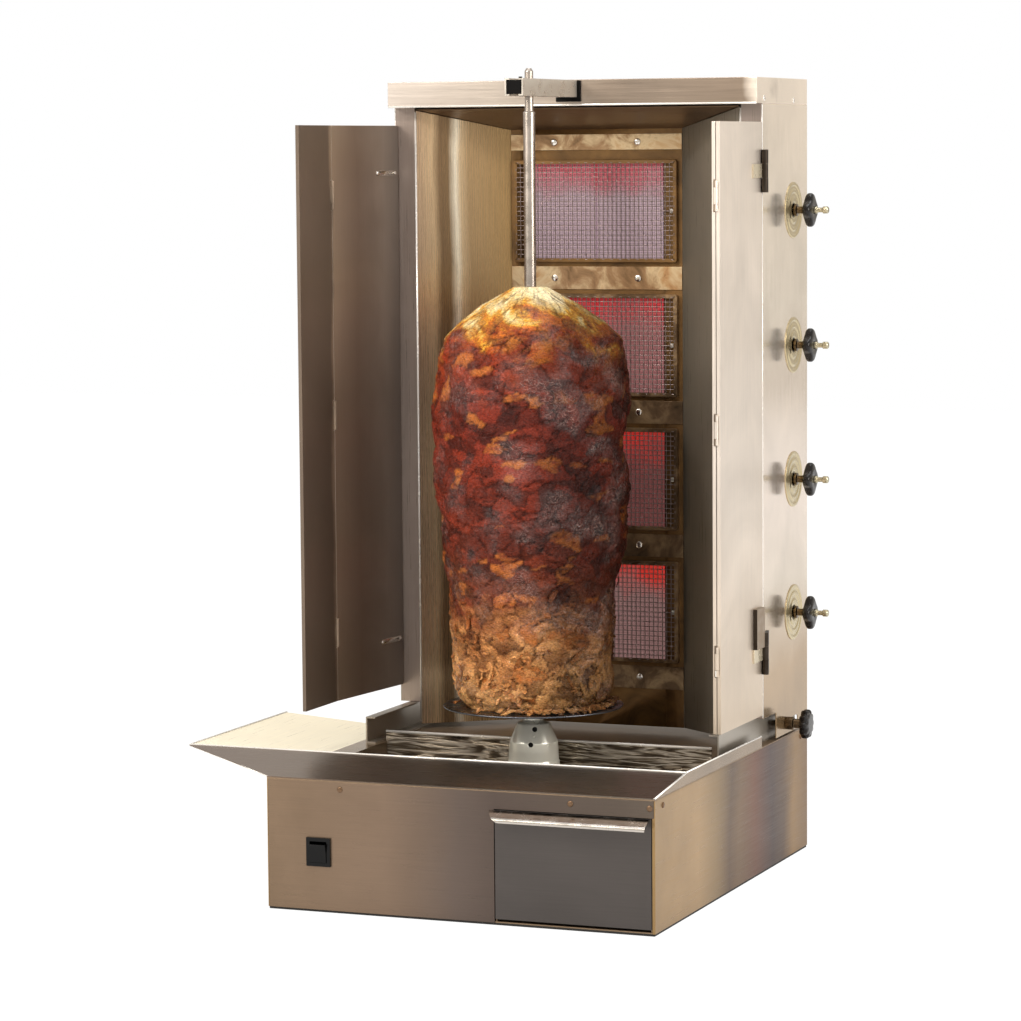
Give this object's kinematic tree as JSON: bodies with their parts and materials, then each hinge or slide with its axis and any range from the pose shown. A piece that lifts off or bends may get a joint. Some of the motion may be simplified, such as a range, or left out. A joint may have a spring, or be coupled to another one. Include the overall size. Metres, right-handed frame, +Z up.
{
  "type": "doner kebab grill",
  "caption": "Upright gas grill with ceramic burners behind a turning spit of meat, folding side doors, a sliding cabinet and a base with catch tray and drawer.",
  "frame": {"origin": "on the ground, under the middle of the base box", "axes": "+X to the right seen from the front, +Y to the back, +Z up"},
  "size_m": [0.766, 0.694, 1.1],
  "materials": {
    "brushed_panel": "brushed stainless sheet",
    "tray_steel": "stainless sheet, a little dull",
    "reflector_steel": "bright sheet tinted by heat",
    "tinted_strip": "golden heat tint",
    "polished_steel": "polished",
    "plate_steel": "dark turned steel",
    "wire_steel": "woven wire",
    "burner_metal": "pressed sheet",
    "hot_ceramic": "matt perforated ceramic, glowing",
    "electrode_ceramic": "glazed white",
    "black_steel": "black",
    "black_plastic": "glossy",
    "rubber": "matt",
    "gear_alloy": "cast",
    "gas_brass": "turned",
    "roast_meat": "glazed roast"
  },
  "bodies": {
    "base": {"base_front_panel": "brushed_panel", "base_left_panel": "brushed_panel", "base_right_panel": "brushed_panel", "base_rear_panel": "brushed_panel", "base_floor": "brushed_panel", "base_deck": "brushed_panel", "catch_tray": "tray_steel", "slide_rails": "tray_steel", "foot_strip": "rubber", "switch_housing": "black_plastic", "gear_motor": "gear_alloy", "spindle_bearing": "gear_alloy", "drawer_runners": "tray_steel", "cable_gland": "black_plastic", "base_screws": "polished_steel"},
    "drive": {"drive_spindle": "polished_steel", "drive_dome": "polished_steel"},
    "spit": {"spit_rod": "polished_steel", "meat_plate": "plate_steel", "meat": "roast_meat"},
    "cabinet": {"cabinet_left_panel": "brushed_panel", "cabinet_right_panel": "brushed_panel", "cabinet_rear_panel": "brushed_panel", "hood": "brushed_panel", "reflector_top": "reflector_steel", "reflector_right": "reflector_steel", "reflector_left": "reflector_steel", "cabinet_floor": "brushed_panel", "burner_frame": "reflector_steel", "burner_plaques": "hot_ceramic", "burner_guards": "wire_steel", "burner_strips": "tinted_strip", "ignition_electrodes": "electrode_ceramic", "gas_manifold": "gas_brass", "escutcheons": "polished_steel", "cabinet_screws": "polished_steel", "spit_arm": "polished_steel", "arm_bracket": "black_steel", "door_hinges": "polished_steel", "burner_1": "burner_metal", "burner_2": "burner_metal", "burner_3": "burner_metal", "burner_4": "burner_metal"},
    "knob_1": {"gas_knob_1": "black_plastic"},
    "button_1": {"safety_button_1": "polished_steel"},
    "knob_2": {"gas_knob_2": "black_plastic"},
    "button_2": {"safety_button_2": "polished_steel"},
    "knob_3": {"gas_knob_3": "black_plastic"},
    "button_3": {"safety_button_3": "polished_steel"},
    "knob_4": {"gas_knob_4": "black_plastic"},
    "button_4": {"safety_button_4": "polished_steel"},
    "right_door": {"door_right": "brushed_panel"},
    "right_leaf": {"door_right_leaf": "brushed_panel"},
    "left_door": {"door_left": "brushed_panel"},
    "left_leaf": {"door_left_leaf": "brushed_panel"},
    "drawer_body": {"drawer": "brushed_panel", "drawer_handle": "polished_steel"},
    "switch_rocker": {"rocker": "black_plastic"},
    "clamp": {"clamp_knob": "black_plastic"},
    "gate": {"arm_gate": "black_steel"}
  },
  "joints": [
    {"name": "spit_spin", "type": "hinge", "parent": "base", "child": "drive", "pos_m": [0, -0.052, 0.2], "axis": [0, 0, 1], "continuous": true},
    {"name": "spit_lift", "type": "slide", "parent": "drive", "child": "spit", "axis": [0, 0, 1], "range_m": [0, 0.018]},
    {"name": "cabinet_slide", "type": "slide", "parent": "base", "child": "cabinet", "axis": [0, -1, 0], "range_m": [0, 0.05]},
    {"name": "right_door_swing", "type": "hinge", "parent": "cabinet", "child": "right_door", "pos_m": [0.275, 0.116, 0.62], "axis": [0, 0, 1], "range_deg": [0, 110]},
    {"name": "right_leaf_fold", "type": "hinge", "parent": "right_door", "child": "right_leaf", "pos_m": [0.2645, -0.0618, 0.62], "axis": [0, 0, 1], "range_deg": [0, 180]},
    {"name": "left_door_swing", "type": "hinge", "parent": "cabinet", "child": "left_door", "pos_m": [-0.275, 0.116, 0.62], "axis": [0, 0, -1], "range_deg": [-6.5, 101]},
    {"name": "left_leaf_fold", "type": "hinge", "parent": "left_door", "child": "left_leaf", "pos_m": [-0.28469, -0.06185, 0.62], "axis": [0, 0, 1], "range_deg": [-6.5, 173.5]},
    {"name": "drawer_slide", "type": "slide", "parent": "base", "child": "drawer_body", "axis": [0, -1, 0], "range_m": [0, 0.25]},
    {"name": "rocker_tilt", "type": "hinge", "parent": "base", "child": "switch_rocker", "pos_m": [-0.196, -0.3205, 0.08], "axis": [-1, 0, 0], "range_deg": [0, 16]},
    {"name": "clamp_turn", "type": "hinge", "parent": "base", "child": "clamp", "pos_m": [0.27, 0.225, 0.193], "axis": [-1, 0, 0], "range_deg": [0, 720]},
    {"name": "gate_swing", "type": "hinge", "parent": "cabinet", "child": "gate", "pos_m": [0.008, -0.103, 1.0745], "axis": [0, 0, 1], "range_deg": [0, 90]},
    {"name": "knob_1_turn", "type": "hinge", "parent": "cabinet", "child": "knob_1", "pos_m": [0.27, 0.26, 0.906], "axis": [-1, 0, 0], "range_deg": [0, 180]},
    {"name": "button_1_press", "type": "slide", "parent": "knob_1", "child": "button_1", "axis": [-1, 0, 0], "range_m": [0, 0.006], "stiffness_N_per_m": 400, "springref_m": -0.003},
    {"name": "knob_2_turn", "type": "hinge", "parent": "cabinet", "child": "knob_2", "pos_m": [0.27, 0.26, 0.719], "axis": [-1, 0, 0], "range_deg": [0, 180]},
    {"name": "button_2_press", "type": "slide", "parent": "knob_2", "child": "button_2", "axis": [-1, 0, 0], "range_m": [0, 0.006], "stiffness_N_per_m": 400, "springref_m": -0.003},
    {"name": "knob_3_turn", "type": "hinge", "parent": "cabinet", "child": "knob_3", "pos_m": [0.27, 0.26, 0.532], "axis": [-1, 0, 0], "range_deg": [0, 180]},
    {"name": "button_3_press", "type": "slide", "parent": "knob_3", "child": "button_3", "axis": [-1, 0, 0], "range_m": [0, 0.006], "stiffness_N_per_m": 400, "springref_m": -0.003},
    {"name": "knob_4_turn", "type": "hinge", "parent": "cabinet", "child": "knob_4", "pos_m": [0.27, 0.26, 0.345], "axis": [-1, 0, 0], "range_deg": [0, 180]},
    {"name": "button_4_press", "type": "slide", "parent": "knob_4", "child": "button_4", "axis": [-1, 0, 0], "range_m": [0, 0.006], "stiffness_N_per_m": 400, "springref_m": -0.003}
  ]
}
